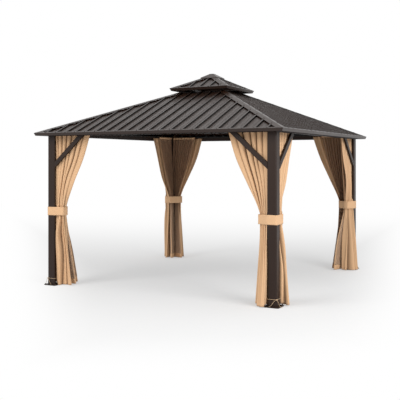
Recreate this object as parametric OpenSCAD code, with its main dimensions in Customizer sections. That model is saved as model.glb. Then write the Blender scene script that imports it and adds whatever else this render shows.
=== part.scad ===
// Square two-tier metal gazebo with ribbed hip roofs, corner posts, tied-back curtains and nets.
// Millimetres, +Z up, ground at z = 0, front side at -Y.

/* [Lower roof] */
// Width of the lower roof over its eave trims
roof_w = 3600; // [2800:10:4200]
// Height of the top edge of the lower eave above the ground
eave_z = 2060; // [1900:10:2400]
// Slope of the lower roof in degrees
roof_pitch = 22.9; // [16:0.1:28]
// Half width of the open top of the lower roof
vent_r = 330; // [280:5:400]

/* [Upper roof] */
// Width of the upper roof over its eave trims
upper_w = 920; // [860:10:1100]
// Height of the upper eave edge above the top edge of the lower roof plane
upper_lift = 61.5; // [45:0.5:110]
// Slope of the upper roof in degrees
upper_pitch = 25.4; // [18:0.1:30]
// Half width of the cap on the upper roof
cap_half = 130; // [100:5:160]
// Half width of the flat top of the cap
cap_flat = 30; // [20:1:45]
// Rise of the sloping part of the cap
cap_rise = 60; // [30:1:90]
// Height of the upright rim of the cap
cap_rim = 12; // [6:1:20]

/* [Sheet metal] */
// Thickness of the roof sheet
sheet_t = 1; // [0.8:0.1:2]
// Distance between ribs
rib_pitch = 160; // [120:5:200]
// Height of a rib
rib_h = 17; // [12:1:24]
// Width of a rib at its foot
rib_base = 32; // [26:1:40]
// Width of a rib at its top
rib_top = 20; // [12:1:24]
// Height of the two shallow creases between ribs
crease_h = 2.5; // [1:0.5:4]
// Width of a crease
crease_w = 12; // [8:1:20]
// Thickness of the eave trims
trim_t = 1; // [0.8:0.1:2]
// How far the face of a trim stands off the sheet end
trim_stand = 4; // [2:0.5:8]
// How far the face of a trim hangs below the sheet
trim_drop = 21; // [15:1:30]
// Width of the lip that covers the rib ends
trim_lip = 24; // [12:1:40]
// Width of one wing of a hip cap, seen from above
cap_wing = 58; // [40:1:80]
// Thickness of the hip caps
cap_t = 1.2; // [0.8:0.1:2]

/* [Frame] */
// Distance from the eave edge in to the outer face of the posts
overhang = 131; // [90:1:200]
// Width of each leg of the L-shaped post
leg_w = 116; // [90:1:140]
// Thickness of each leg of the post, and of the beams
leg_t = 30; // [24:1:40]
// Width of the bevel along the outer corner of a post
corner_bevel = 12; // [6:1:16]
// Width of the bevel along the free edge of a post leg
edge_bevel = 16; // [8:1:24]
// Depth of the bevel along the free edge of a post leg
edge_sink = 6; // [3:1:10]
// Wall thickness of posts, beams and braces
tube_wall = 2; // [1.5:0.1:4]
// Height of the beams
beam_h = 74; // [60:1:100]
// Width of a base plate
plate_w = 194; // [170:1:240]
// Thickness of a base plate
plate_t = 10; // [5:1:14]
// Corner radius of a base plate
plate_r = 24; // [5:1:28]
// Height of the socket that holds the foot of a post
socket_h = 96; // [60:1:140]
// Wall thickness of the socket
socket_t = 2.5; // [1.5:0.1:4]
// Distance from the edge of a base plate in to the middle of an anchor hole
bolt_inset = 20; // [15:1:22]
// Diameter of an anchor hole
bolt_d = 12; // [8:0.5:14]
// Width of a brace as seen from the front
brace_w = 58; // [35:1:70]
// Thickness of a brace
brace_t = 26; // [16:1:28]
// Height of a brace below the beam, at its middle line on the post
brace_rise = 388; // [250:1:500]
// Reach of a brace from the post, at its middle line on the beam
brace_run = 434; // [250:1:540]
// Width of the roof bars
bar_w = 30; // [24:1:40]
// Depth of the roof bars
bar_h = 48; // [36:1:60]

/* [Curtains and nets] */
// Width of the double curtain rail
rail_w = 48; // [44:1:52]
// Height of the curtain rail
rail_h = 14; // [10:1:18]
// Height of the curtain hems above the ground
hem_z = 15; // [15:1:80]
// Reach of a curtain from the outer face of the post, at the rail
curtain_top = 684; // [500:1:800]
// Reach of a curtain at the hem
curtain_hem = 345; // [290:1:420]
// How far the middle of a curtain swings out at the hem
curtain_flare = 100; // [0:1:110]
// Reach of a net at the rail
net_top = 600; // [450:1:700]
// Reach of a net at the hem
net_hem = 336; // [270:1:400]
// Number of pleats in a curtain
pleats = 6; // [4:1:8]
// Height of the middle of the tieback band
band_z = 1009; // [800:1:1200]
// Height of the tieback band
band_h = 122; // [80:1:150]
// Thickness of the tieback band
band_t = 3; // [2:0.5:5]
// Reach of the band from the outer face of the post
band_reach = 252; // [236:1:280]
// Height of the foot tie
tie_z = 92; // [60:1:140]
// Diameter of the foot tie cord
tie_d = 4; // [3:0.5:6]

/* [Hidden] */
$fn = 48;
// seat clearance between separate metal pieces
fit = 0.2;
// clearance between cloth and its neighbours
ease = 0.5;
// thickness of the keel under a hip cap, inside the joint of the sheets
keel_t = 2;
metal = [0.20, 0.17, 0.16];
tan_cloth = [0.86, 0.66, 0.47];
net_cloth = [0.35, 0.25, 0.18];
steel = [0.30, 0.29, 0.28];

// top of trims and underside of hip caps above the sheet
lip_top = rib_h + fit + trim_t;
hip_under = lip_top + fit;
// eave point of each sheet plane: distance from the axis, and height
nose_r = trim_stand * cos(roof_pitch) + lip_top * sin(roof_pitch);
nose_z = lip_top * cos(roof_pitch) - trim_stand * sin(roof_pitch);
low_r = roof_w / 2 - nose_r;
low_z = eave_z - nose_z;
vent_z = low_z + (low_r - vent_r) * tan(roof_pitch);
up_nose_r = trim_stand * cos(upper_pitch) + lip_top * sin(upper_pitch);
up_nose_z = lip_top * cos(upper_pitch) - trim_stand * sin(upper_pitch);
up_r = upper_w / 2 - up_nose_r;
up_z = vent_z + upper_lift - up_nose_z;
// frame
post_out = roof_w / 2 - overhang;
post_in = post_out - leg_t;
beam_top = low_under(post_out) - fit;
beam_z = beam_top - beam_h;
post_mid = post_out - leg_w / 2;
bolt_pitch = plate_w - 2 * bolt_inset;
rail_top = low_under(post_in) - 11;
rail_z = rail_top - rail_h;
ring_out = vent_r + 15;
ring_top = low_under(ring_out) - fit;
up_ring_out = vent_r - 1;
up_ring_top = up_under(up_ring_out) - fit;
drape_top = rail_z - ease;
net_up = rail_top + 3;
band_lo = band_z - band_h / 2 - 10;
band_hi = band_z + band_h / 2 + 10;
// plan sections of curtain and net at hem, waist and rail: near and far end, middle, half depth, fold, flare
curtain_rows = [[leg_w + 14, curtain_hem, leg_t + 42, 34, 22, curtain_flare],
    [leg_t + 64, band_reach - 12, leg_t + 32, 26, 16, 0],
    [leg_w + 10, curtain_top, leg_t + 25, 17, 12, 0]];
net_rows = [[leg_t + 134, net_hem, leg_t + 105, 20, 12, 0],
    [leg_t + 108, band_reach - 31, leg_t + 82, 17, 10, 0],
    [leg_t + 110, net_top, leg_t + rail_w + fit + ease + 9, 9, 6, 0]];

function low_under(r) = low_z + (low_r - r) * tan(roof_pitch) - sheet_t / cos(roof_pitch);
function up_under(r) = up_z + (up_r - r) * tan(upper_pitch) - sheet_t / cos(upper_pitch);
function up_over(r, h) = up_z + (up_r - r) * tan(upper_pitch) + h / cos(upper_pitch);
function reverse(v) = [for (i = [len(v) - 1 : -1 : 0]) v[i]];
function unit(v) = v / norm(v);
function mix(a, b, s) = a + (b - a) * s;

// Turn a corner piece or a side piece by quarter turns.
module quarter(k) {
    rotate([0, 0, 90 * k])
        children();
}

// Draw a half corner and its mirror image across the diagonal of the front right corner.
module both_sides() {
    children();
    mirror([1, 1, 0])
        children();
}

// Plan wedge of one roof side between two distances from the axis.
module wedge(r_in, r_out, gap) {
    linear_extrude(2 * eave_z)
        polygon([[gap - r_out, -r_out], [r_out - gap, -r_out], [r_in - gap, -r_in], [gap - r_in, -r_in]]);
}

// Put a child in the plane of a front slope: y runs up the slope, z stands off it.
module on_slope(pitch, r, z) {
    translate([0, -r, z])
        rotate([pitch, 0, 0])
            children();
}

// Section of the ribbed sheet: one line of points, lowered by d and narrowed by w for the underside.
function sheet_line(count, half, d, w) = [
    [-half, -d],
    for (k = [-count : count]) each concat(
        k == -count ? [] : crease_line((k - 0.5) * rib_pitch, d),
        [[k * rib_pitch - rib_base / 2 + w, -d], [k * rib_pitch - rib_top / 2 + w, rib_h - d],
         [k * rib_pitch + rib_top / 2 - w, rib_h - d], [k * rib_pitch + rib_base / 2 - w, -d]]),
    [half, -d]];
function crease_line(x, d) = [for (s = [-1, 1]) each
    [[x + s * rib_pitch / 6 - crease_w / 2, -d], [x + s * rib_pitch / 6, crease_h - d],
     [x + s * rib_pitch / 6 + crease_w / 2, -d]]];

// Ribbed sheet of the front side of a roof tier, cut to the hips and to the top opening.
module ribbed_sheet(pitch, r, z, r_top, count) {
    run = (r - r_top) / cos(pitch) + 40;
    intersection() {
        on_slope(pitch, r, z)
            translate([0, run, 0])
                rotate([90, 0, 0])
                    linear_extrude(run)
                        polygon(concat(sheet_line(count, r, 0, 0),
                            reverse(sheet_line(count, r, sheet_t, sheet_t * 0.74))));
        wedge(r_top, r + 60, 2);
    }
}

// Folded eave trim of the front side of a roof tier, mitred at the hips.
module eave_trim(pitch, r, z) {
    intersection() {
        on_slope(pitch, r, z)
            rotate([90, 0, 90])
                translate([0, 0, -r - 60])
                    linear_extrude(2 * r + 120)
                        polygon([[-trim_stand, -trim_drop], [-trim_stand, lip_top], [trim_lip, lip_top],
                            [trim_lip, lip_top - trim_t], [trim_t - trim_stand, lip_top - trim_t],
                            [trim_t - trim_stand, trim_t - trim_drop], [trim_lip - 2, trim_t - trim_drop],
                            [trim_lip - 2, -trim_drop]]);
        wedge(r / 3, r + 60, fit);
    }
}

// Folded hip cap of the front right corner of a roof tier, with a keel that closes the joint under it.
module hip_cap(pitch, r, z, r_top) {
    r_low = r + hip_under * sin(pitch) + trim_stand * cos(pitch);
    both_sides()
        intersection() {
            on_slope(pitch, r, z)
                translate([0, -60, hip_under])
                    cube([r + 60, r / cos(pitch) + 60, cap_t]);
            linear_extrude(2 * eave_z)
                polygon([[r_low, -r_low], [r_top, -r_top], [r_top - cap_wing * sqrt(2), -r_top],
                    [r_low - cap_wing * sqrt(2), -r_low]]);
        }
    r_end = r - (trim_lip + 4) * cos(pitch);
    high = (hip_under + cap_t / 2) / cos(pitch);
    rotate([90, 0, -45])
        linear_extrude(keel_t, center = true)
            polygon([for (c = [[r_end, fit], [r_top + 2, fit], [r_top + 2, high], [r_end, high]])
                [c[0] * sqrt(2), z + (r - c[0]) * tan(pitch) + c[1]]]);
}

module base_plates() {
    color(metal)
        for (k = [0 : 3])
            quarter(k) {
                translate([post_mid, -post_mid, 0])
                    base_plate();
                translate([0, 0, plate_t / 2])
                    linear_extrude(socket_h - plate_t / 2)
                        difference() {
                            polygon(post_outline(-fit - socket_t));
                            polygon(post_outline(-fit));
                        }
            }
}

module base_plate() {
    inner = plate_w / 2 - plate_r;
    difference() {
        union() {
            translate([-plate_w / 2, -inner, 0])
                cube([plate_w, 2 * inner, plate_t]);
            translate([-inner, -plate_w / 2, 0])
                cube([2 * inner, plate_w, plate_t]);
            for (x = [-inner, inner], y = [-inner, inner])
                translate([x, y, 0])
                    cylinder(h = plate_t, r = plate_r);
        }
        for (x = [-bolt_pitch / 2, bolt_pitch / 2], y = [-bolt_pitch / 2, bolt_pitch / 2])
            translate([x, y, -1])
                cylinder(h = plate_t + 2, d = bolt_d);
    }
}

// Hollow L-shaped corner post of the front right corner.
module post(k) {
    color(metal)
        quarter(k)
            translate([0, 0, plate_t + fit])
                linear_extrude(beam_z - plate_t - 2 * fit)
                    difference() {
                        polygon(post_outline(0));
                        polygon(post_outline(tube_wall));
                    }
}

// Plan of a post with bevelled edges, drawn in by d; a negative d draws it out.
function post_outline(d) =
    let (leg = leg_outline(d))
    flat_corner(concat(leg, reverse([for (e = leg) [e[1], e[0]]])));
function leg_outline(d) =
    let (k = edge_sink / edge_bevel, g = sqrt(1 + k * k))
    [[corner_bevel + d * (sqrt(2) - 1), d], [leg_w - edge_bevel - d * (g - 1) / k, d],
     [leg_w - d, edge_sink + d * (g - k)], [leg_w - d, leg_t - d], [leg_t - d, leg_t - d]];

// Hollow beam of the front side, mitred over the posts.
module beam(k) {
    color(metal)
        quarter(k)
            intersection() {
                translate([-post_out, -post_out, beam_z])
                    difference() {
                        cube([2 * post_out, leg_t, beam_h]);
                        translate([-1, tube_wall, tube_wall])
                            cube([2 * post_out + 2, leg_t - 2 * tube_wall, beam_h - 2 * tube_wall]);
                    }
                wedge(post_in - 1, post_out + 1, fit);
            }
}

// The two knee braces of the front right corner.
module braces(k) {
    color(metal)
        quarter(k)
            both_sides()
                translate([post_out - leg_w - fit, (leg_t + brace_t) / 2 - post_out, beam_z - fit])
                    rotate([90, 0, 0])
                        brace();
}

module brace() {
    half = brace_w / 2;
    difference() {
        linear_extrude(brace_t)
            polygon(brace_outline(half));
        translate([0, 0, tube_wall])
            linear_extrude(brace_t - 2 * tube_wall)
                polygon(brace_outline(half - tube_wall));
    }
}

// Slanting strip of half width d, cut upright at the post and level at the beam.
function brace_outline(d) =
    let (k = brace_run / brace_rise, v = d * sqrt(1 + k * k) / k)
    [[0, -brace_rise - v], [0, v - brace_rise], [(v - brace_rise) * k, 0], [-(brace_rise + v) * k, 0]];

// Double curtain rails on the inner faces of the beams, two lengths to a side.
module curtain_rails() {
    slot = rail_w / 8;
    color(steel)
        for (k = [0 : 3], m = [0, 1])
            quarter(k)
                mirror([m, 0, 0])
                    translate([bar_w / 2 + 3, fit - post_in, rail_z])
                        rotate([90, 0, 90])
                            linear_extrude(post_in - 79 - bar_w / 2)
                                difference() {
                                    square([rail_w, rail_h]);
                                    for (c = [rail_w * 0.3, rail_w * 0.7])
                                        translate([c - slot, 2])
                                            square([2 * slot, rail_h - 4]);
                                    for (c = [rail_w * 0.3, rail_w * 0.7])
                                        translate([c - slot / 2, -1])
                                            square([slot, 4]);
                                }
}

// Hollow bars under the hips, from the beam corners to the corners of the vent frame.
module hip_rafters() {
    lean = bar_w / 2 * tan(roof_pitch) / sqrt(2);
    color(metal)
        for (k = [0 : 3])
            quarter(k)
                difference() {
                    hip_bar(0, lean + fit);
                    hip_bar(tube_wall, lean + fit + tube_wall);
                    translate([-ring_out - fit, -ring_out - fit, beam_z])
                        cube([2 * ring_out + 2 * fit, 2 * ring_out + 2 * fit, eave_z]);
                }
}

// Upright slab along the front right diagonal under the hip, kept inside the beams.
module hip_bar(d, drop) {
    near = ring_out - 25;
    intersection() {
        rotate([0, 0, -45])
            rotate([90, 0, 0])
                translate([0, 0, d - bar_w / 2])
                    linear_extrude(bar_w - 2 * d)
                        polygon([[near * sqrt(2), low_under(near) - drop],
                            [post_out * sqrt(2), low_under(post_out) - drop],
                            [post_out * sqrt(2), low_under(post_out) - bar_h + 2 * d - drop],
                            [near * sqrt(2), low_under(near) - bar_h + 2 * d - drop]]);
        translate([fit - post_in, fit - post_in, 0])
            cube([2 * post_in - 2 * fit, 2 * post_in - 2 * fit, 2 * eave_z]);
    }
}

// Hollow bars under the middle of each roof side, from beam to vent frame.
module mid_rafters() {
    color(metal)
        for (k = [0 : 3])
            quarter(k)
                difference() {
                    mid_bar(0);
                    mid_bar(tube_wall);
                }
}

module mid_bar(d) {
    a = ring_out + fit - d;
    b = post_in - fit + d;
    translate([d - bar_w / 2, 0, 0])
        rotate([90, 0, 90])
            linear_extrude(bar_w - 2 * d)
                polygon([[-a, low_under(a) - fit - d], [-b, low_under(b) - fit - d],
                    [-b, low_under(b) - fit + d - bar_h], [-a, low_under(a) - fit + d - bar_h]]);
}

// Welded frame in the vent: a ring under the lower roof, four uprights and a ring under the upper roof.
module vent_frame() {
    color(metal) {
        square_ring(ring_out, ring_out - bar_w, ring_top - bar_w, bar_w);
        square_ring(up_ring_out, up_ring_out - bar_w, up_ring_top - bar_w, bar_w);
        for (k = [0 : 3])
            quarter(k)
                translate([up_ring_out - bar_w, -up_ring_out, ring_top - bar_w / 2])
                    cube([bar_w, bar_w, up_ring_top - ring_top]);
    }
}

module square_ring(outer, inner, z, h) {
    translate([0, 0, z])
        difference() {
            translate([-outer, -outer, 0])
                cube([2 * outer, 2 * outer, h]);
            translate([-inner, -inner, -1])
                cube([2 * inner, 2 * inner, h + 2]);
        }
}

module roof_panel(k) {
    color(metal)
        quarter(k)
            ribbed_sheet(roof_pitch, low_r, low_z, vent_r, floor((low_r - 90) / rib_pitch));
}

module eave_trims() {
    color(metal)
        for (k = [0 : 3])
            quarter(k)
                eave_trim(roof_pitch, low_r, low_z);
}

module hip_caps() {
    color(metal)
        for (k = [0 : 3])
            quarter(k)
                hip_cap(roof_pitch, low_r, low_z, vent_r + 2);
}

module upper_roof_panels() {
    color(metal)
        for (k = [0 : 3])
            quarter(k)
                ribbed_sheet(upper_pitch, up_r, up_z, cap_half - 50, floor((up_r - 90) / rib_pitch));
}

module upper_eave_trims() {
    color(metal)
        for (k = [0 : 3])
            quarter(k)
                eave_trim(upper_pitch, up_r, up_z);
}

module upper_hip_caps() {
    color(metal)
        for (k = [0 : 3])
            quarter(k)
                hip_cap(upper_pitch, up_r, up_z, cap_half - 40);
}

// Hollow cap over the top of the upper roof: upright rim, four slopes and a flat top.
module roof_cap() {
    cap_z = up_over(cap_half, hip_under + cap_t) + fit;
    cap_pitch = atan(cap_rise / (cap_half - cap_flat));
    color(metal) {
        square_ring(cap_half, cap_half - cap_t, cap_z, cap_rim);
        for (k = [0 : 3])
            quarter(k)
                intersection() {
                    on_slope(cap_pitch, cap_half, cap_z + cap_rim)
                        translate([-cap_half, -20, -cap_t])
                            cube([2 * cap_half, 2 * cap_half, cap_t]);
                    wedge(cap_flat - 1, cap_half, 0);
                }
        translate([-cap_flat, -cap_flat, cap_z + cap_rim + cap_rise - cap_t])
            cube([2 * cap_flat, 2 * cap_flat, cap_t]);
    }
}

// Closed solid through a list of rings; each ring runs out along one side and back along the other.
module loft(rings) {
    m = len(rings[0]);
    n = len(rings);
    last = (n - 1) * m;
    half = floor(m / 2) - 1;
    polyhedron(
        points = [for (r = rings) each r],
        faces = concat(
            [for (j = [0 : n - 2], i = [0 : m - 1]) each
                [[j * m + i, j * m + m + i, j * m + m + (i + 1) % m],
                 [j * m + i, j * m + m + (i + 1) % m, j * m + (i + 1) % m]]],
            [for (i = [0 : half - 1]) each
                [[i, i + 1, m - 2 - i], [i, m - 2 - i, m - 1 - i]]],
            [for (i = [0 : half - 1]) each
                [[last + i, last + m - 2 - i, last + i + 1],
                 [last + i, last + m - 1 - i, last + m - 2 - i]]]));
}

// Share of the way from the waist to an end: steep next to the waist above, slow below.
function spread(z, top) = z >= band_hi ? let (s = (z - band_hi) / (top - band_hi)) s + 0.07 * sin(180 * s)
    : z <= band_lo ? pow((band_lo - z) / (band_lo - hem_z), 1.6) : 0;
function cloth_row(rows, z, top) = mix(rows[1], z > band_z ? rows[2] : rows[0], spread(z, top));
function cloth_ring(row, count, z) = concat(
    [for (i = [0 : 2 * count]) corner_point(mix(row[0], row[1], i / 2 / count),
        row[2] - row[3] + row[4] * (i % 2) - row[5] * sin(90 * i / count), z)],
    [for (i = [2 * count : -1 : 0]) corner_point(mix(row[0], row[1], i / 2 / count),
        row[2] + row[3] - row[4] * ((i + 1) % 2), z)]);
function corner_point(p, q, z) = [post_out - p, q - post_out, z];
function cloth_heights(top) = concat([for (s = [0 : 2]) mix(hem_z, band_lo, s / 3)], [band_lo, band_hi],
    [for (s = [1 : 5]) mix(band_hi, top, s / 5)]);

// Gathered cloth on both sides of the front right corner.
module gathered(rows, count, top) {
    both_sides()
        loft([for (z = cloth_heights(top)) reverse(cloth_ring(cloth_row(rows, z, top), count, z))]);
}

module curtains(k) {
    color(tan_cloth)
        quarter(k)
            gathered(curtain_rows, pleats, drape_top);
}

module nets(k) {
    color(net_cloth)
        quarter(k)
            gathered(net_rows, pleats, net_up);
}

// Outline of the band from the outer face of the post, and the same outline moved out by d.
band_line = [[-ease, -ease], [leg_w, -ease], [band_reach, leg_t + 6], [band_reach - 12, leg_w + 2],
    [leg_w + 2, band_reach - 12], [leg_t + 6, band_reach], [-ease, leg_w]];
function moved_out(pts, d) = [for (i = [0 : len(pts) - 1])
    let (a = pts[(i + len(pts) - 1) % len(pts)], b = pts[i], c = pts[(i + 1) % len(pts)],
        n1 = unit([b[1] - a[1], a[0] - b[0]]), n2 = unit([c[1] - b[1], b[0] - c[0]]))
    b + (n1 + n2) * d / (1 + n1 * n2)];
function flat_corner(pts) = [for (c = pts) [post_out - c[0], c[1] - post_out]];

module tieback(k) {
    color(tan_cloth)
        quarter(k)
            translate([0, 0, band_z - band_h / 2])
                linear_extrude(band_h)
                    difference() {
                        polygon(flat_corner(moved_out(band_line, band_t)));
                        polygon(flat_corner(band_line));
                    }
}

// Route of a foot tie from one tail round the socket to the other tail.
tie_off = tie_d / 2 + ease + fit + socket_t;
tie_floor = plate_t + tie_d / 2 + ease;
plate_edge = (leg_w - plate_w) / 2;
tie_leg = [[leg_w - 12, -tie_off], [leg_w - 4, 1.2 - tie_off], [leg_w + tie_off - 2.2, edge_sink - 6],
    [leg_w + tie_off + 2.3, edge_sink + 1], [leg_w + tie_off + 3, leg_t / 2 + 3],
    [leg_w + tie_off + 2.6, leg_t - 2], [leg_w + tie_off + 0.4, leg_t + tie_off - 0.4],
    [leg_w + 0.6, leg_t + tie_off + 5]];
tie_route = concat(
    [[84, -24, tie_floor], [72, -22, tie_floor + 3], [58, -18, tie_floor + 17], [42, -15, tie_floor + 38],
     [28, -12, tie_z - 23], [17, -8.5, tie_z - 10.5], [8, -4, tie_z - 3.5], [1, 1.5, tie_z - 0.5],
     [-3.5, 8.5, tie_z + 0.5], [-tie_off, 18, tie_z + 0.5], [-tie_off, 40, tie_z]],
    [for (c = tie_leg) [c[1], c[0], tie_z]],
    [for (c = reverse(tie_leg)) [c[0], c[1], tie_z]],
    [[40, -tie_off, tie_z + 1], [22, -1 - tie_off, tie_z + 2.5], [13, -8, tie_z + 3.2],
     [6, -7.8, tie_z + 3], [-2, -4, tie_z + 1.5], [-8, 2, tie_z - 2.5], [-12, 5, tie_z - 10],
     [-17, 6, tie_z - 21],
     [-25, 7.5, tie_z - 40], [plate_edge + 5, 11, tie_floor + 14], [plate_edge - 5, 17, tie_floor + 3],
     [plate_edge - 14, 22, tie_floor - 6], [plate_edge - 27, 28, tie_d / 2 + ease]]);

// Ring of eight points square to the route at each of its points, carried along without twist.
function tie_run(i) = unit(tie_route[min(i + 1, len(tie_route) - 1)] - tie_route[max(i - 1, 0)]);
function tie_side(i) = i == 0 ? unit(cross([0, 0, 1], tie_run(0)))
    : let (u = tie_side(i - 1), t = tie_run(i)) unit(u - t * (u * t));
function tie_ring(i) =
    let (t = tie_run(i), u = tie_side(i), v = cross(t, u))
    [for (a = [0 : 45 : 315]) let (c = tie_route[i] + (u * cos(a) + v * sin(a)) * tie_d / 2)
        corner_point(c[0], c[1], c[2])];

// Foot tie of one corner; every other one is turned over.
module foot_tie(k) {
    color(tan_cloth)
        quarter(k)
            mirror([k % 2, k % 2, 0])
                loft([for (i = [0 : len(tie_route) - 1]) tie_ring(i)]);
}

base_plates();
post(3);  // post_front_left
post(0);  // post_front_right
post(1);  // post_back_right
post(2);  // post_back_left
beam(0);  // beam_front
beam(1);  // beam_right
beam(2);  // beam_back
beam(3);  // beam_left
braces(3);  // braces_front_left
braces(0);  // braces_front_right
braces(1);  // braces_back_right
braces(2);  // braces_back_left
curtain_rails();
hip_rafters();
mid_rafters();
vent_frame();
roof_panel(0);  // roof_panel_front
roof_panel(1);  // roof_panel_right
roof_panel(2);  // roof_panel_back
roof_panel(3);  // roof_panel_left
eave_trims();
hip_caps();
upper_roof_panels();
upper_eave_trims();
upper_hip_caps();
roof_cap();
curtains(3);  // curtains_front_left
curtains(0);  // curtains_front_right
curtains(1);  // curtains_back_right
curtains(2);  // curtains_back_left
nets(3);  // nets_front_left
nets(0);  // nets_front_right
nets(1);  // nets_back_right
nets(2);  // nets_back_left
tieback(3);  // tieback_front_left
tieback(0);  // tieback_front_right
tieback(1);  // tieback_back_right
tieback(2);  // tieback_back_left
foot_tie(3);  // foot_tie_front_left
foot_tie(0);  // foot_tie_front_right
foot_tie(1);  // foot_tie_back_right
foot_tie(2);  // foot_tie_back_left
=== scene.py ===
import math
import bpy
from mathutils import Matrix, Vector, noise


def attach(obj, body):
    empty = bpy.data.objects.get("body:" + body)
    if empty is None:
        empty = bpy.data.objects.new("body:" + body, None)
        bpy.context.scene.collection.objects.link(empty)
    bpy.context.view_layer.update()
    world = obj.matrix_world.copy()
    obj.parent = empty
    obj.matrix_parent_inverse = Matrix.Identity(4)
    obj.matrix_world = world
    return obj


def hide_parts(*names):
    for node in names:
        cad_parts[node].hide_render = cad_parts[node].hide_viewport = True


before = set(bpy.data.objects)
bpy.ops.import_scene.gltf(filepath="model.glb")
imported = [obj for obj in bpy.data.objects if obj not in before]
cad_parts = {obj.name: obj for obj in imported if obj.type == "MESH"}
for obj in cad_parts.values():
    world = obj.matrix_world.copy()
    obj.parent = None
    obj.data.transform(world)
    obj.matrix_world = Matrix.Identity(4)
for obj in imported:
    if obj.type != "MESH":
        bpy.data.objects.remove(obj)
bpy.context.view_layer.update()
scene = bpy.context.scene
scene.view_settings.view_transform = "Standard"
print("frame loaded,", len(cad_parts), "nodes")

# camera
viewer = {"place": (4.7052, -9.2636, 1.6944), "turn": 0.4752, "lens": 63.947, "shift": (-0.0221, -0.0997),
          "clipEnd": 300}
cameraData = bpy.data.cameras.new("viewer")
cameraData.lens = viewer["lens"]
cameraData.shift_x, cameraData.shift_y = viewer["shift"]
cameraData.clip_end = viewer["clipEnd"]
camera = bpy.data.objects.new("viewer", cameraData)
camera.location = viewer["place"]
camera.rotation_euler = (math.pi / 2, 0, viewer["turn"])
scene.collection.objects.link(camera)
scene.camera = camera
print("camera set")

postOut = 1.669  # outer faces of the posts, from the middle
cornerTurns = {"front_right": 0, "back_right": 1, "back_left": 2, "front_left": 3}
sideNames = ("near", "far")


def atCorner(p, q, z, turns, side=0):
    # p runs along a side from the post's outer face and q runs inward; side 1 swaps them
    if side:
        p, q = q, p
    x, y = postOut - p, q - postOut
    for quarter in range(turns):
        x, y = -y, x
    return Vector((x, y, z))


def outOf(turns, side):
    # level way out of one side of a corner
    return atCorner(0, -1, 0, turns, side) - atCorner(0, 0, 0, turns, side)


def along(stops, z):
    # smooth value through (height, value) stops, level past both ends
    if z <= stops[0][0]:
        return stops[0][1]
    if z >= stops[-1][0]:
        return stops[-1][1]
    i = max(j for j in range(len(stops) - 1) if stops[j][0] <= z)

    def slope(j):
        a, b = stops[max(j - 1, 0)], stops[min(j + 1, len(stops) - 1)]
        return (b[1] - a[1]) / (b[0] - a[0])

    h = stops[i + 1][0] - stops[i][0]
    t = (z - stops[i][0]) / h
    return (stops[i][1] * (1 + 2 * t) * (1 - t) ** 2 + h * slope(i) * t * (1 - t) ** 2
            + stops[i + 1][1] * (3 - 2 * t) * t * t - h * slope(i + 1) * (1 - t) * t * t)


def ramp(a, b, x):
    t = min(max((x - a) / (b - a), 0), 1)
    return t * t * (3 - 2 * t)


def newPiece(name, points, faces, material, uvs=None, smooth=True):
    mesh = bpy.data.meshes.new(name)
    mesh.from_pydata(points, [], faces)
    if uvs:
        layer = mesh.uv_layers.new(name="cloth")
        for loop in mesh.loops:
            layer.data[loop.index].uv = uvs[loop.vertex_index]
    mesh.polygons.foreach_set("use_smooth", [smooth] * len(mesh.polygons))
    mesh.materials.append(material)
    mesh.update()
    piece = bpy.data.objects.new(name, mesh)
    scene.collection.objects.link(piece)
    return piece


def keepShape(piece):
    # turns the piece with its modifiers into a plain mesh
    graph = bpy.context.evaluated_depsgraph_get()
    grown = piece.evaluated_get(graph)
    made = bpy.data.meshes.new_from_object(grown, preserve_all_data_layers=True, depsgraph=graph)
    piece.modifiers.clear()
    piece.data = made
    return piece


def thicken(piece, thickness, weights=None):
    # cloth thickness, centred on the sheet; weights make the hems fuller
    shell = piece.modifiers.new("thickness", "SOLIDIFY")
    shell.thickness = thickness
    shell.offset = 0
    if weights:
        group = piece.vertex_groups.new(name="full")
        for i, weight in enumerate(weights):
            group.add([i], weight, "REPLACE")
        shell.vertex_group = "full"
    return keepShape(piece)


# materials
def newFinish(name):
    finish = bpy.data.materials.new(name)
    finish.use_nodes = True
    tree = finish.node_tree
    return finish, tree, tree.nodes["Principled BSDF"]


def add(tree, kind, **settings):
    # new node; in0, in1 and so on set its inputs by number
    node = tree.nodes.new(kind)
    for key, value in settings.items():
        if key[:2] == "in" and key[2:].isdigit():
            node.inputs[int(key[2:])].default_value = value
        else:
            setattr(node, key, value)
    return node


def feed(tree, value, socket):
    # links another node's output, or sets a plain value
    if isinstance(value, bpy.types.NodeSocket):
        tree.links.new(value, socket)
    else:
        socket.default_value = value


def mixColours(tree, factor, first, second, way="MIX"):
    node = add(tree, "ShaderNodeMix", data_type="RGBA", blend_type=way)
    for i, value in ((0, factor), (6, first), (7, second)):
        feed(tree, value, node.inputs[i])
    return node.outputs[2]


def mixShaders(tree, factor, first, second):
    node = add(tree, "ShaderNodeMixShader")
    for i, value in enumerate((factor, first.outputs[0], second.outputs[0])):
        feed(tree, value, node.inputs[i])
    tree.links.new(node.outputs[0], tree.nodes["Material Output"].inputs[0])


def calc(tree, operation, *values):
    node = add(tree, "ShaderNodeMath", operation=operation)
    for i, value in enumerate(values):
        feed(tree, value, node.inputs[i])
    return node.outputs[0]


def vectorCalc(tree, operation, first, second):
    node = add(tree, "ShaderNodeVectorMath", operation=operation)
    feed(tree, first, node.inputs[0])
    feed(tree, second, node.inputs[1])
    return node.outputs["Value" if operation == "DOT_PRODUCT" else "Vector"]


def split(tree, vector):
    node = add(tree, "ShaderNodeSeparateXYZ")
    tree.links.new(vector, node.inputs[0])
    return node.outputs


def remap(tree, value, fromRange, toRange, easing="LINEAR"):
    node = add(tree, "ShaderNodeMapRange", interpolation_type=easing)
    for i, amount in enumerate((value, *fromRange, *toRange)):
        feed(tree, amount, node.inputs[i])
    return node.outputs[0]


def cloudy(tree, where, scale, detail, roughness):
    node = add(tree, "ShaderNodeTexNoise", in2=scale, in3=detail, in4=roughness)
    tree.links.new(where, node.inputs[0])
    return node.outputs[0]


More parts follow.
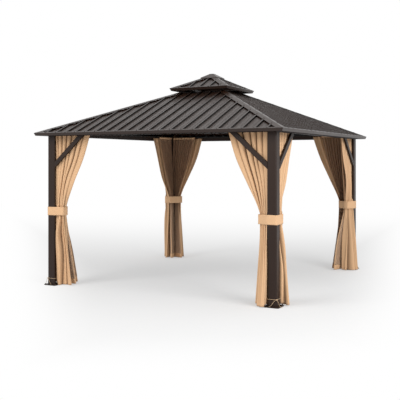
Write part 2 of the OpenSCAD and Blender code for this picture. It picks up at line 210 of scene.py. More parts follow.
def bumped(tree, height, strength, distance, normal=None):
    node = add(tree, "ShaderNodeBump", in0=strength, in1=distance)
    tree.links.new(height, node.inputs["Height"])
    if normal is not None:
        tree.links.new(normal, node.inputs["Normal"])
    return node.outputs[0]


noiseSpan = (0.3, 0.7)  # where most of a noise texture's values lie
powder = {
    "deep": (0.0150, 0.0057, 0.0024, 1), "pale": (0.0215, 0.0088, 0.0044, 1),
    # the rim colour and width below are a painted highlight along the roof ribs' edges; the worn colour is
    # edge wear
    "wearAndHighlight": (0.055, 0.044, 0.040, 1), "edge": 0.0012, "rim": (0.110, 0.098, 0.092, 1), "rimEdge": 0.007,
    # the near-black colour below and the two amounts after it are painted shade on the roof ribs' steep sides
    "edgeFacing": (0.99, 0.86), "wearAndHighlightAmount": 0.7, "ribSideShadeColour": (0.005, 0.0035, 0.003, 1), "ribSideShade": (0.3, 0.9),
    "steep": (0.82, 0.72), "wall": 0.12, "cloud": 2.2, "swell": 5.0, "fleck": 420.0, "peel": 850,
    "flecked": 0.35, "peelBump": 0.10, "peelDepth": 0.0004, "waveDepth": 0.02,
}
railTones = {"deep": (0.012, 0.011, 0.010, 1), "pale": (0.020, 0.018, 0.017, 1),
             "wearAndHighlight": (0.09, 0.085, 0.08, 1)}


def ribShade(tree, where, normal):
    # painted shade: dark on the ribs' steep sides, most of all on those facing anticlockwise round the roof
    upward = split(tree, normal)[2]
    steep = remap(tree, upward, powder["steep"], (0.0, 1.0))
    steep = calc(tree, "MULTIPLY", steep, calc(tree, "GREATER_THAN", upward, powder["wall"]))
    onward = vectorCalc(tree, "CROSS_PRODUCT", (0, 0, 1), where)
    # lapped here only means facing anticlockwise; those sides get the darker painted shade
    lapped = calc(tree, "GREATER_THAN", vectorCalc(tree, "DOT_PRODUCT", onward, normal), 0.0)
    clockwiseShade, anticlockwiseShade = powder["ribSideShade"]
    shade = calc(tree, "MULTIPLY_ADD", lapped, anticlockwiseShade - clockwiseShade, clockwiseShade)
    return calc(tree, "MULTIPLY", steep, shade)


def powderCoat(name, tones, rough, wave, gloss, ribbed=False):
    # rough is its lowest and highest; ribbed is for roof sheets, with a painted highlight in wide pale rims
    # and painted shade on the rib sides
    finish, tree, shader = newFinish(name)
    links = tree.links
    where = add(tree, "ShaderNodeTexCoord").outputs["Object"]
    cloud = cloudy(tree, where, powder["cloud"], 4.0, 0.55)
    peel = cloudy(tree, where, powder["peel"], 1.0, 0.5)
    swell = cloudy(tree, where, powder["swell"], 1.0, 0.5)
    fleck = cloudy(tree, where, powder["fleck"], 2.0, 0.6)
    clouded = calc(tree, "MULTIPLY", cloud, 1 - powder["flecked"])
    tone = calc(tree, "MULTIPLY_ADD", fleck, powder["flecked"], clouded)
    # edges go towards the worn colour as wear, except on ribbed sheets, where the wide pale rims are a
    # painted highlight
    edge, wearAndHighlight = (powder["rimEdge"], powder["rim"]) if ribbed else (powder["edge"], tones["wearAndHighlight"])
    soft = add(tree, "ShaderNodeBevel", samples=4, in0=edge).outputs[0]
    trueNormal = add(tree, "ShaderNodeNewGeometry").outputs["True Normal"]
    facing = vectorCalc(tree, "DOT_PRODUCT", soft, trueNormal)
    wearAndHighlightAmount = remap(tree, facing, powder["edgeFacing"], (0.0, powder["wearAndHighlightAmount"]))
    body = mixColours(tree, tone, tones["deep"], tones["pale"])
    colour = mixColours(tree, calc(tree, "MULTIPLY", wearAndHighlightAmount, fleck), body, wearAndHighlight)
    if ribbed:
        # painted shade: the ribs' steep sides go near black and metallic, so they stay dark
        shade = ribShade(tree, where, trueNormal)
        colour = mixColours(tree, shade, colour, powder["ribSideShadeColour"])
        links.new(shade, shader.inputs["Metallic"])
    links.new(colour, shader.inputs["Base Color"])
    links.new(remap(tree, cloud, noiseSpan, rough), shader.inputs["Roughness"])
    low = bumped(tree, swell, wave, powder["waveDepth"], soft)
    links.new(bumped(tree, peel, powder["peelBump"], powder["peelDepth"], low), shader.inputs["Normal"])
    shader.inputs["Specular IOR Level"].default_value = gloss
    return finish


brownCoat = powderCoat("brownCoat", powder, rough=(0.38, 0.48), wave=0.02, gloss=0.29)
roofCoat = powderCoat("roofCoat", powder, rough=(0.32, 0.40), wave=0.012, gloss=0.42)
panelCoat = powderCoat("panelCoat", powder, rough=(0.30, 0.38), wave=0.012, gloss=0.46, ribbed=True)
darkRail = powderCoat("darkRail", railTones, rough=(0.32, 0.42), wave=0.01, gloss=0.3)

hardware = {"deep": (0.014, 0.011, 0.010, 1), "pale": (0.040, 0.034, 0.031, 1), "grain": 600.0,
            "rough": (0.3, 0.5), "metal": 0.35}


def hardwareFinish():
    finish, tree, shader = newFinish("coatedSteel")
    where = add(tree, "ShaderNodeTexCoord").outputs["Object"]
    grain = cloudy(tree, where, hardware["grain"], 2.0, 0.6)
    tree.links.new(mixColours(tree, grain, hardware["deep"], hardware["pale"]), shader.inputs["Base Color"])
    tree.links.new(remap(tree, grain, noiseSpan, hardware["rough"]), shader.inputs["Roughness"])
    shader.inputs["Metallic"].default_value = hardware["metal"]
    return finish


coatedSteel = hardwareFinish()

# the crease colour and the number after it give the painted shade in the cloth's folds
weave = {"pitch": 0.0011, "light": (0.800, 0.518, 0.305, 1), "dark": (0.660, 0.395, 0.212, 1),
         "crease": (0.050, 0.020, 0.008, 1), "creaseShadeStrength": 0.94, "through": (1.0, 0.72, 0.50, 1), "slub": (30, 900),
         "bump": 0.20, "depth": 0.0003, "rough": 0.88, "gloss": 0.18, "sheen": 0.12, "sheenRough": 0.4,
         "fadeScale": 3.0, "fadeShare": 0.30, "yarnShare": 0.35, "slubShare": 0.30, "slubBump": 0.5}
bandScale = 0.31416  # scale of a wave texture with one band to a metre


def bands(tree, where, direction, pitch):
    node = add(tree, "ShaderNodeTexWave", wave_type="BANDS", bands_direction=direction, in1=bandScale / pitch)
    tree.links.new(where, node.inputs[0])
    return node.outputs[1]


def wovenFinish(name, glow):
    finish, tree, shader = newFinish(name)
    links = tree.links
    where = add(tree, "ShaderNodeTexCoord").outputs["UV"]
    warp, weft = bands(tree, where, "X", weave["pitch"]), bands(tree, where, "Y", weave["pitch"])
    slubs = []
    for stretch in (weave["slub"], weave["slub"][::-1]):
        squeeze = add(tree, "ShaderNodeMapping")
        squeeze.inputs["Scale"].default_value = (*stretch, 1)
        links.new(where, squeeze.inputs[0])
        slubs.append(cloudy(tree, squeeze.outputs[0], 1.0, 2.0, 0.6))
    fade = cloudy(tree, where, weave["fadeScale"], 3.0, 0.55)
    yarn = calc(tree, "MULTIPLY", calc(tree, "ADD", warp, weft), 0.5)
    tone = calc(tree, "MULTIPLY", yarn, weave["yarnShare"])
    tone = calc(tree, "MULTIPLY_ADD", fade, weave["fadeShare"], tone)
    tone = calc(tree, "MULTIPLY_ADD", calc(tree, "ADD", *slubs), weave["slubShare"], tone)
    # painted shade: the cloth is darkened towards the crease colour where its folds are deep
    paintedCreaseShade = add(tree, "ShaderNodeAttribute", attribute_name="paintedCreaseShade").outputs["Fac"]
    plain = mixColours(tree, tone, weave["dark"], weave["light"])
    colour = mixColours(tree, calc(tree, "MULTIPLY", paintedCreaseShade, weave["creaseShadeStrength"]), plain, weave["crease"])
    links.new(colour, shader.inputs["Base Color"])
    height = calc(tree, "MULTIPLY_ADD", slubs[0], weave["slubBump"], yarn)
    ridged = bumped(tree, height, weave["bump"], weave["depth"])
    links.new(ridged, shader.inputs["Normal"])
    shader.inputs["Roughness"].default_value = weave["rough"]
    shader.inputs["Specular IOR Level"].default_value = weave["gloss"]
    shader.inputs["Sheen Weight"].default_value = weave["sheen"]
    shader.inputs["Sheen Roughness"].default_value = weave["sheenRough"]
    through = add(tree, "ShaderNodeBsdfTranslucent")
    links.new(mixColours(tree, 1.0, colour, weave["through"], "MULTIPLY"), through.inputs[0])
    links.new(ridged, through.inputs[1])
    mixShaders(tree, glow, shader, through)
    return finish


tanCloth = wovenFinish("tanCloth", glow=0.07)
tanHem = wovenFinish("tanHem", glow=0.05)

# the low colours are the net's tones with painted light, used below the band
netLook = {"pitch": 0.0014, "solid": 0.48, "colour": (0.360, 0.200, 0.110, 1),
           "shade": (0.250, 0.135, 0.072, 1), "lowColour": (0.560, 0.370, 0.240, 1),
           "lowShade": (0.430, 0.275, 0.168, 1), "paler": (1.02, 0.80), "rough": 0.7, "sheen": 0.2}


def netFinish():
    finish, tree, shader = newFinish("brownNet")
    where = add(tree, "ShaderNodeTexCoord").outputs["UV"]
    across, down = (bands(tree, where, direction, netLook["pitch"]) for direction in "XY")
    solid = calc(tree, "GREATER_THAN", calc(tree, "MAXIMUM", across, down), netLook["solid"])
    fade = cloudy(tree, where, 40.0, 2.0, 0.5)
    low = remap(tree, split(tree, where)[1], netLook["paler"], (0.0, 1.0))  # painted light: paler below the band, where more light falls on the net
    upper = mixColours(tree, fade, netLook["shade"], netLook["colour"])
    litLower = mixColours(tree, fade, netLook["lowShade"], netLook["lowColour"])
    tree.links.new(mixColours(tree, low, upper, litLower), shader.inputs["Base Color"])
    shader.inputs["Roughness"].default_value = netLook["rough"]
    shader.inputs["Sheen Weight"].default_value = netLook["sheen"]
    mixShaders(tree, solid, add(tree, "ShaderNodeBsdfTransparent"), shader)
    return finish


brownNet = netFinish()

thread = {"bump": 0.4, "depth": 0.0002, "rough": 0.85, "sheen": 0.2}


def threadFinish(name, light, dark, pitch):
    finish, tree, shader = newFinish(name)
    where = add(tree, "ShaderNodeTexCoord").outputs["UV"]
    ply = bands(tree, where, "DIAGONAL", pitch)
    tree.links.new(mixColours(tree, ply, dark, light), shader.inputs["Base Color"])
    tree.links.new(bumped(tree, ply, thread["bump"], thread["depth"]), shader.inputs["Normal"])
    shader.inputs["Roughness"].default_value = thread["rough"]
    shader.inputs["Sheen Weight"].default_value = thread["sheen"]
    return finish


tanString = threadFinish("tanString", light=(0.74, 0.55, 0.36, 1), dark=(0.52, 0.34, 0.19, 1),
                         pitch=0.0009)
paleThread = threadFinish("paleThread", light=(0.86, 0.68, 0.48, 1), dark=(0.66, 0.47, 0.29, 1),
                          pitch=0.0006)
print("finishes made")

# foot ties: string round the foot of each post, route in mm as p, q and height, from one tail to the other
footTie = {"thick": 0.004, "strands": 3, "lay": 0.013, "sides": 12, "step": 0.0016, "length": 0.685,
           "lobe": 0.20, "knot": (-3, -3, 92), "knotSize": 0.0027, "knotThick": 0.46,
           "knotFlat": (0.8, 0.75)}
tieRoute = [
    (84, -24, 12.5), (72, -22, 15.5), (58, -18, 29.5), (42, -15, 50.5), (28, -12, 69), (17, -8.5, 81.5),
    (8, -4, 88.5), (1, 1.5, 91.5), (-3.5, 8.5, 92.5), (-5.2, 18, 92.5), (-5.2, 40, 92), (-5.2, 104, 92),
    (-4, 112, 92), (0, 119, 92), (7, 123.5, 92), (18, 124.2, 92), (28, 123.8, 92), (34.8, 121.6, 92),
    (40.2, 116.6, 92), (116.6, 40.2, 92), (121.6, 34.8, 92), (123.8, 28, 92), (124.2, 18, 92),
    (123.5, 7, 92), (119, 0, 92), (112, -4, 92), (104, -5.2, 92), (40, -5.2, 93), (22, -6.2, 94.5),
    (13, -8, 95.2), (6, -7.8, 95), (-2, -4, 93.5), (-8, 2, 89.5), (-12, 5, 82), (-17, 6, 71),
    (-25, 7.5, 52), (-34, 11, 26.5), (-44, 17, 15.5), (-53, 22, 6.5), (-66, 28, 2.5),
]


def evenLine(line, step):
    # points an even step apart along a line
    marks = [0.0]
    for a, b in zip(line, line[1:]):
        marks.append(marks[-1] + (b - a).length)
    total, even, j = round(marks[-1] / step), [], 0
    for i in range(total + 1):
        want = marks[-1] * i / total
        while j < len(line) - 2 and marks[j + 1] < want:
            j += 1
        even.append(line[j].lerp(line[j + 1], (want - marks[j]) / max(marks[j + 1] - marks[j], 1e-12)))
    return even


def smoothLine(points, step, closed=False):
    # even points on a smooth line through the given ones
    count, cuts, pull, least = len(points), 24, 0.9, 1e-9
    fine = []
    for i in range(count if closed else count - 1):
        if closed:
            a, b, c, d = (points[(i + j) % count] for j in (-1, 0, 1, 2))
        else:
            a, b, c, d = (points[min(max(i + j, 0), count - 1)] for j in (-1, 0, 1, 2))
        reach = max((c - b).length, least)
        into = (c - a) * (reach / max((c - a).length, least)) * pull
        away = (d - b) * (reach / max((d - b).length, least)) * pull
        for k in range(cuts):
            t = k / cuts
            fine.append(b * (1 + 2 * t) * (1 - t) ** 2 + into * t * (1 - t) ** 2
                        + c * (3 - 2 * t) * t * t - away * (1 - t) * t * t)
    fine.append(points[0] if closed else points[-1])
    return evenLine(fine, step)


def stringPiece(name, line, radius, closed=False):
    # laid string: a tube whose section has a lobe for each strand, turning along the line
    sides, count = footTie["sides"], len(line) - (1 if closed else 0)
    points, uvs, faces = [], [], []
    heading = (line[1] - line[0]).normalized()
    side = heading.orthogonal().normalized()
    for i in range(count):
        ahead = line[(i + 1) % count] if closed else line[min(i + 1, count - 1)]
        behind = line[i - 1] if closed or i else line[0]
        heading = (ahead - behind).normalized()
        side = (side - heading * side.dot(heading)).normalized()
        up = heading.cross(side)
        run = i * footTie["step"]
        for k in range(sides):
            angle = 2 * math.pi * k / sides
            lobe = abs(math.cos(footTie["strands"] / 2 * (angle - 2 * math.pi * run / footTie["lay"])))
            size = radius * (1 - footTie["lobe"] + footTie["lobe"] * lobe)
            points.append(line[i] + (side * math.cos(angle) + up * math.sin(angle)) * size)
            uvs.append((k / sides * 2 * math.pi * radius, run))
    for i in range(count if closed else count - 1):
        a, b = i * sides, (i + 1) % count * sides
        faces += [(a + k, a + (k + 1) % sides, b + (k + 1) % sides, b + k) for k in range(sides)]
    if not closed:
        faces.append(tuple(reversed(range(sides))))
        faces.append(tuple((count - 1) * sides + k for k in range(sides)))
    return newPiece(name, points, faces, tanString, uvs)


def knotLine(middle, outward, size):
    across = Vector((0, 0, 1)).cross(outward).normalized()
    up = outward.cross(across)
    rise, depth = footTie["knotFlat"]
    line, count = [], 36
    for i in range(count):  # a trefoil, a little flattened
        t = 2 * math.pi * i / count
        line.append(middle + across * (math.sin(t) + 2 * math.sin(2 * t)) * size
                    + up * (math.cos(t) - 2 * math.cos(2 * t)) * size * rise
                    - outward * math.sin(3 * t) * size * depth)
    return smoothLine(line, footTie["step"], closed=True)


for corner, turns in cornerTurns.items():
    flip = turns % 2  # every other corner is tied the other way round
    route = [atCorner(p / 1000, q / 1000, z / 1000, turns, flip) for p, q, z in tieRoute]
    line = smoothLine(route, footTie["step"])
    tie = stringPiece("foot_tie_string_" + corner, line, footTie["thick"] / 2)
    middle = atCorner(*(v / 1000 for v in footTie["knot"]), turns, flip)
    outward = (atCorner(-1, -1, 0, turns) - atCorner(0, 0, 0, turns)).normalized()
    knot = stringPiece("foot_tie_knot_" + corner, knotLine(middle, outward, footTie["knotSize"]),
                       footTie["thick"] * footTie["knotThick"], closed=True)
    for piece in (tie, knot):
        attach(piece, "root")
    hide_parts("foot_tie_" + corner)
print("foot ties tied")

# curtains: two sheets at each corner, gathered at the waist by a band
curtain = {
    "hem": 0.010, "top": 2.070, "cut": (0.55, 2.06), "thick": 0.0026, "steps": 7, "rows": 96,
    "marks": (0.01, 0.45, 0.70, 0.93, 1.08, 1.40, 1.72, 2.07),
    "flare": {"front_right": (1.0, 1.0), "back_right": (1.0, 0.7), "back_left": (0.8, 0.6),
              "front_left": (0.8, 0.35)},  # how far each skirt swings out below the band
    "plumb": 0.06, "bell": 0.93, "waist": 1.009, "calm": 0.25, "calmEdge": 0.08, "sway": (0.003, 0.004),
    "turned": 1.6, "soft": 0.32, "behind": 0.0335, "free": (1.1, 0.119), "plate": 0.018, "wavy": 0.003,
    # deep is the fold depth that gets full painted shade; inside is how much of it the inner face gets
    "deep": 0.030, "inside": 0.6, "hemRise": 0.03, "headRise": 0.05, "edges": (0.03, 0.965),
    "plateAlong": (0.175, 0.152), "plateAcross": (-0.062, -0.042), "dropTo": 0.35, "plain": 0.5,
}
# lines down the cloth, from post to leading edge, crease and ridge by turns: p and q in mm at each mark
foldsLeft = [
    ((130, 50), (121, 34), (124, 32), (121, 40), (121, 40), (118, 42), (118, 42), (120, 44)),
    ((132, -66), (124, -36), (123, -13), (124, 8), (127, 14), (138, 35), (150, 35), (160, 35)),
    ((150, -66), (142, -28), (144, 7), (146, 38), (143, 38), (160, 42), (188, 48), (200, 70)),
    ((164, -68), (152, -32), (155, -1), (158, 27), (155, 28), (180, 35), (225, 35), (238, 35)),
    ((178, -60), (166, -12), (169, 20), (172, 46), (168, 46), (200, 46), (260, 58), (276, 72)),
    ((192, -56), (180, -16), (181, 12), (183, 36), (178, 36), (218, 35), (286, 36), (320, 36)),
    ((202, -46), (190, 0), (190, 27), (191, 50), (190, 54), (238, 62), (309, 66), (363, 68)),
    ((212, -42), (200, -4), (199, 22), (200, 44), (200, 46), (262, 36), (350, 36), (412, 36)),
    ((264, 76), (232, 78), (220, 83), (212, 88), (210, 84), (287, 84), (388, 80), (466, 74)),
    ((284, 72), (246, 64), (232, 68), (222, 72), (220, 64), (314, 37), (424, 36), (515, 36)),
    ((292, 80), (252, 70), (237, 74), (226, 78), (226, 74), (337, 48), (458, 52), (565, 56)),
    ((302, 88), (262, 74), (244, 76), (237, 76), (239, 70), (360, 38), (498, 37), (607, 37)),
    ((264, 150), (250, 152), (241, 131), (241, 106), (243, 100), (380, 50), (536, 48), (645, 46)),
]
foldsRight = [
    ((100, 72), (98, 58), (95, 50), (92, 44), (90, 42), (95, 42), (108, 44), (93, 44)),
    ((130, 40), (119, 34), (111, 35), (106, 36), (103, 36), (125, 36), (128, 36), (116, 35)),
    ((133, 22), (128, 14), (121, 27), (122, 42), (113, 42), (140, 41), (148, 46), (137, 70)),
    ((134, -14), (146, -20), (136, 6), (142, 34), (123, 35), (158, 36), (178, 36), (170, 35)),
    ((158, -48), (160, -24), (147, 12), (168, 46), (133, 46), (172, 42), (205, 50), (203, 72)),
    ((190, -90), (192, -52), (182, -38), (198, 7), (160, 18), (186, 36), (234, 36), (243, 35)),
    ((200, 118), (220, 75), (192, 73), (206, 68), (170, 70), (207, 80), (261, 77), (283, 74)),
    ((228, 84), (234, 56), (206, 43), (213, 36), (184, 34), (230, 38), (290, 37), (330, 36)),
    ((238, 92), (240, 62), (216, 50), (221, 44), (200, 42), (240, 44), (318, 58), (376, 72)),
    ((250, 80), (248, 52), (228, 38), (229, 30), (214, 30), (251, 38), (355, 37), (434, 36)),
    ((266, 150), (254, 84), (237, 61), (237, 46), (226, 48), (264, 68), (391, 77), (492, 72)),
    ((318, 96), (272, 62), (253, 39), (245, 22), (240, 22), (300, 37), (430, 38), (535, 36)),
    ((330, 104), (278, 68), (259, 61), (248, 56), (246, 56), (336, 50), (465, 60), (575, 62)),
    ((346, 98), (284, 62), (263, 62), (251, 66), (250, 64), (380, 38), (514, 42), (634, 36)),
    ((338, 136), (278, 104), (258, 98), (246, 96), (250, 94), (412, 50), (558, 60), (690, 46)),
]


def foldSpots(folds, flare, z):
    # where each fold line is at a height
    bell = 1 - (1 - flare) * ramp(curtain["bell"], 0.0, z)
    spots = []
    for line in folds:
        p = along([(mark, spot[0] / 1000) for mark, spot in zip(curtain["marks"], line)], z)
        q = along([(mark, spot[1] / 1000) for mark, spot in zip(curtain["marks"], line)], z)
        spots.append((p, curtain["plumb"] + (q - curtain["plumb"]) * bell))
    return spots


def curtainGrid(folds, flare, seed):
    # rows of (p, q, z, share, painted fold shade on the outer face, painted fold shade on the inner face),
    # hem to top; the columns keep to the folds
    rows, steps = [], curtain["steps"]
    last = (len(folds) - 1) * steps
    for j in range(curtain["rows"] + 1):
        z = curtain["hem"] + (curtain["top"] - curtain["hem"]) * j / curtain["rows"]
        spots = foldSpots(folds, flare, z)
        row = []
        for c in range(last + 1):
            i = min(c // steps, len(folds) - 2)
            ridge, crease = (spots[i], spots[i + 1]) if i % 2 else (spots[i + 1], spots[i])
            t = c / steps - i
            t = 1 - (1 - t if i % 2 else t) ** curtain["turned"]  # 0 on the ridge, 1 in the crease
            bend = curtain["soft"] * t * t + (1 - curtain["soft"]) * t ** 4
            share = c / last
            free = ramp(0, curtain["calm"], abs(z - curtain["waist"])) * ramp(0, curtain["calmEdge"], share)
            p = ridge[0] + (crease[0] - ridge[0]) * t
            p += curtain["sway"][0] * free * noise.noise((share * 4, z * 2.1, 9 + seed))
            q = ridge[1] + (crease[1] - ridge[1]) * bend
            q += curtain["sway"][1] * free * (noise.noise((share * 5 + seed, z * 1.7, 3.1 * seed)) + 0.3)
            if z > curtain["free"][0] or p < curtain["free"][1]:
                q = max(q, curtain["behind"])  # inside the braces and the post
            onPlate = ramp(*curtain["plateAlong"], p) * ramp(*curtain["plateAcross"], q)
            drop = curtain["plate"] * onPlate + curtain["wavy"] * noise.noise((share * 4.3 + seed, 0, seed))
            drop *= ramp(curtain["dropTo"], 0.0, z)
            # painted shade in the folds: on the outer face towards the bottom of each crease, on the inner
            # face towards each ridge, stronger the deeper the fold; none on the outer face at the sheet's
            # edges
            deep = min(abs(crease[1] - ridge[1]) / curtain["deep"], 1)
            atEdge = share in (0, 1) or i in (0, len(folds) - 2) and t > 0.5
            outerCreaseShade = 0 if atEdge else deep * t ** 4
            row.append((p, q, z + drop, share, outerCreaseShade, curtain["inside"] * deep * (1 - t) ** 2))
        rows.append(row)
    return rows


def sheetFaces(columns, rows, flip):
    faces = []
    for j in range(rows - 1):
        for i in range(columns - 1):
            a, b = j * columns + i, (j + 1) * columns + i
            faces.append((a, a + 1, b + 1, b) if flip else (a, b, b + 1, a + 1))
    return faces


def curtainPiece(corner, turns, side):
    folds, flare = (foldsLeft, foldsRight)[side], curtain["flare"][corner][side]
    grid = curtainGrid(folds, flare, 1.7 * turns + 0.9 * side)
    hemTop, headLow = curtain["hem"] + curtain["hemRise"], curtain["top"] - curtain["headRise"]
    points, uvs, weights, paintedCreaseShades = [], [], [], []
    for row in grid:
        for p, q, z, share, *paintedCreaseShade in row:
            points.append(atCorner(p, q, z, turns, side))
            uvs.append((share * curtain["cut"][0], z))
            hemmed = not hemTop <= z <= headLow or not curtain["edges"][0] <= share <= curtain["edges"][1]
            weights.append(1.0 if hemmed else curtain["plain"])
            paintedCreaseShades.append(paintedCreaseShade)
    faces = sheetFaces(len(grid[0]), len(grid), side)
    piece = newPiece("curtain_%s_%s" % (corner, sideNames[side]), points, faces, tanCloth, uvs)
    thicken(piece, curtain["thick"], weights)
    outward = outOf(turns, side)
    # each face of the cloth gets its painted fold shade
    shade = piece.data.attributes.new("paintedCreaseShade", "FLOAT", "POINT")
    for i, vertex in enumerate(piece.data.vertices):
        k = i % len(points)
        shade.data[i].value = paintedCreaseShades[k][0 if (vertex.co - points[k]).dot(outward) > 0 else 1]
    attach(piece, "root")
    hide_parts("curtains_" + corner)
    return grid


curtainGrids = {}
for corner, turns in cornerTurns.items():
    for side in (0, 1):
        curtainGrids[corner, side] = curtainPiece(corner, turns, side)
print("curtains hung")

# nets: one inside each curtain, with tan hems
net = {
    "hem": 0.012, "top": 2.088, "cut": (0.60, 2.07), "pleats": 8, "columns": 80, "rows": 66,
    "near": ([(0.02, 0.165), (0.45, 0.150), (0.93, 0.138), (1.09, 0.138), (1.3, 0.100), (1.6, 0.088),
              (2.09, 0.088)],
             [(0.02, 0.250), (0.45, 0.185), (0.93, 0.138), (1.09, 0.138), (1.6, 0.139), (2.09, 0.140)]),
    "far": ([(0.02, 0.343), (0.45, 0.285), (0.93, 0.221), (1.08, 0.221), (1.29, 0.277), (1.45, 0.337),
             (1.70, 0.418), (2.09, 0.525)],
            [(0.02, 0.330), (0.45, 0.275), (0.93, 0.221), (1.08, 0.221), (1.29, 0.292), (1.45, 0.356),
             (1.70, 0.437), (2.09, 0.540)]),
    "nearIn": ([(0.02, 0.185), (0.45, 0.150), (0.93, 0.112), (1.09, 0.112), (1.6, 0.104), (2.09, 0.0877)],
               [(0.02, 0.178), (0.45, 0.140), (0.93, 0.112), (1.09, 0.112), (1.6, 0.100), (2.09, 0.0877)]),
    "farIn": ([(0.02, 0.240), (0.45, 0.200), (0.93, 0.116), (1.09, 0.114), (1.6, 0.100), (2.09, 0.0877)],
              [(0.02, 0.190), (0.45, 0.152), (0.93, 0.114), (1.09, 0.112), (1.6, 0.098), (2.09, 0.0877)]),
    "depth": [(0.02, 0.018), (0.5, 0.017), (0.93, 0.016), (1.09, 0.016), (1.6, 0.013), (2.09, 0.008)],
    "wobble": 0.55, "sway": 0.003, "tuck": 0.002, "hemBand": 0.070, "topBand": 0.034, "leadBand": 0.012,
    "leadTo": 1.004, "leadGap": 0.001, "thick": 0.0022,
}


def netSeed(turns, side):
    return 11.3 + 2.3 * turns + 0.7 * side


def netPoint(share, z, side, seed):
    near, far = along(net["near"][side], z), along(net["far"][side], z)
    wobble = net["wobble"] * noise.noise((share * 3 + seed, z * 0.6, seed))
    fold = math.sin(2 * math.pi * (net["pleats"] * share + wobble))
    q = along(net["nearIn"][side], z) * (1 - share) + along(net["farIn"][side], z) * share
    q += along(net["depth"], z) * fold + net["sway"] * noise.noise((share * 9 + seed, z * 2, seed))
    return near + (far - near) * share, q, z


def netPatch(shares, heights, turns, side, seed):
    points, uvs = [], []
    for z in heights:
        for share in shares:
            points.append(atCorner(*netPoint(share, z, side, seed), turns, side))
            uvs.append((share * net["cut"][0], z))
    return points, uvs, sheetFaces(len(shares), len(heights), side)


def spread(a, b, count):
    return [a + (b - a) * i / count for i in range(count + 1)]


for corner, turns in cornerTurns.items():
    for side in (0, 1):
        seed = netSeed(turns, side)
        label = "%s_%s" % (corner, sideNames[side])
        shares = spread(0, 1, net["columns"])
        heights = spread(net["hem"] + net["tuck"], net["top"] - net["tuck"], net["rows"])
        points, uvs, faces = netPatch(shares, heights, turns, side, seed)
        sheet = newPiece("net_" + label, points, faces, brownNet, uvs)
        low, high = net["hem"] + net["hemBand"], net["top"] - net["topBand"]
        lead = spread(1 - net["leadBand"], net["leadTo"], 3)
        leadHeights = spread(low + net["leadGap"], high - net["leadGap"], 60)
        points, uvs, faces = [], [], []
        for band, levels in ((shares, spread(net["hem"], low, 3)), (shares, spread(high, net["top"], 2)),
                             (lead, leadHeights)):
            morePoints, moreUvs, moreFaces = netPatch(band, levels, turns, side, seed)
            faces += [tuple(len(points) + v for v in face) for face in moreFaces]
            points += morePoints
            uvs += moreUvs
        hems = newPiece("net_hems_" + label, points, faces, tanHem, uvs)
        thicken(hems, net["thick"])
        for piece, finish in ((sheet, "brown_net"), (hems, "tan_cloth")):
            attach(piece, "root")
            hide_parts("nets_" + corner)
print("nets hung")

# tieback bands: a strap round post, curtains and nets, lapped on the inner side
strap = {
    "low": 0.948, "high": 1.061, "thick": 0.0028, "lap": 0.075, "step": 0.006, "rows": 10,
    "cut": (0.92, 0.113), "proud": 0.62, "lapLift": 1.15, "curl": 0.0012, "ripple": 0.0011, "sag": 0.0018,
    "middle": (0.1, 0.1), "plain": 0.8,
    "outline": [(179, 179, 0), (118, 242, 26), (14, 254, 22), (-0.5, 116, 60), (-0.5, -0.5, 9),
                (116, -0.5, 60), (258, 56, 25), (241, 118, 24), (179, 179, 0)],  # p, q and radius in mm
}


def roundedLine(outline, step):
    # polygon corners rounded to their radius, then even points
    line, cuts = [Vector(outline[0][:2])], 8
    for i in range(1, len(outline) - 1):
        a, b, c = (Vector(outline[i + j][:2]) for j in (-1, 0, 1))
        back, ahead = (a - b).normalized(), (c - b).normalized()
        half = math.acos(max(-1, min(1, back.dot(ahead)))) / 2
        reach = outline[i][2] / math.tan(half)
        middle = b + (back + ahead).normalized() * outline[i][2] / math.sin(half)
        start, stop = b + back * reach - middle, b + ahead * reach - middle
        turn = start.angle_signed(stop)
        for k in range(cuts + 1):
            line.append(middle + Matrix.Rotation(-turn * k / cuts, 2) @ start)
    line.append(Vector(outline[-1][:2]))
    return evenLine(line, step)


def strapGrid(turns):
    loop = [v / 1000 for v in roundedLine(strap["outline"], strap["step"] * 1000)]
    count, lapped = len(loop) - 1, round(strap["lap"] / strap["step"])
    rows = []
    for j in range(strap["rows"] + 1):
        t = j / strap["rows"]
        z = strap["low"] + (strap["high"] - strap["low"]) * t
        row = []
        for i in range(count + lapped + 1):
            here, ahead, behind = loop[i % count], loop[(i + 1) % count], loop[(i - 1) % count]
            heading = (ahead - behind).normalized()
            out = Vector((heading.y, -heading.x))
            if out.dot(here - Vector(strap["middle"])) < 0:
                out = -out
            lift = strap["thick"] * (strap["proud"] + strap["lapLift"] * ramp(count - 6, count + 1, i))
            lift += strap["curl"] * (2 * t - 1) ** 4
            lift += strap["ripple"] * noise.noise((i * 0.13, t * 2.0, 20 + turns))
            sag = strap["sag"] * noise.noise((i * 0.035, 0.4, 30 + turns))
            spot = here + out * lift
            row.append((spot.x, spot.y, z + sag, i * strap["step"], out))
        rows.append(row)
    return rows


strapGrids = {}
for corner, turns in cornerTurns.items():
    grid = strapGrid(turns)
    strapGrids[corner] = grid
    points = [atCorner(p, q, z, turns) for row in grid for p, q, z, run, out in row]
    uvs = [(run, z) for row in grid for p, q, z, run, out in row]
    hemRows = (0, 1, len(grid) - 2, len(grid) - 1)
    weights = [1.0 if j in hemRows else strap["plain"] for j, row in enumerate(grid) for spot in row]
    band = newPiece("tieback_band_" + corner, points, sheetFaces(len(grid[0]), len(grid), False), tanHem, uvs)
    thicken(band, strap["thick"], weights)
    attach(band, "root")
    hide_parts("tieback_" + corner)
print("bands tied")


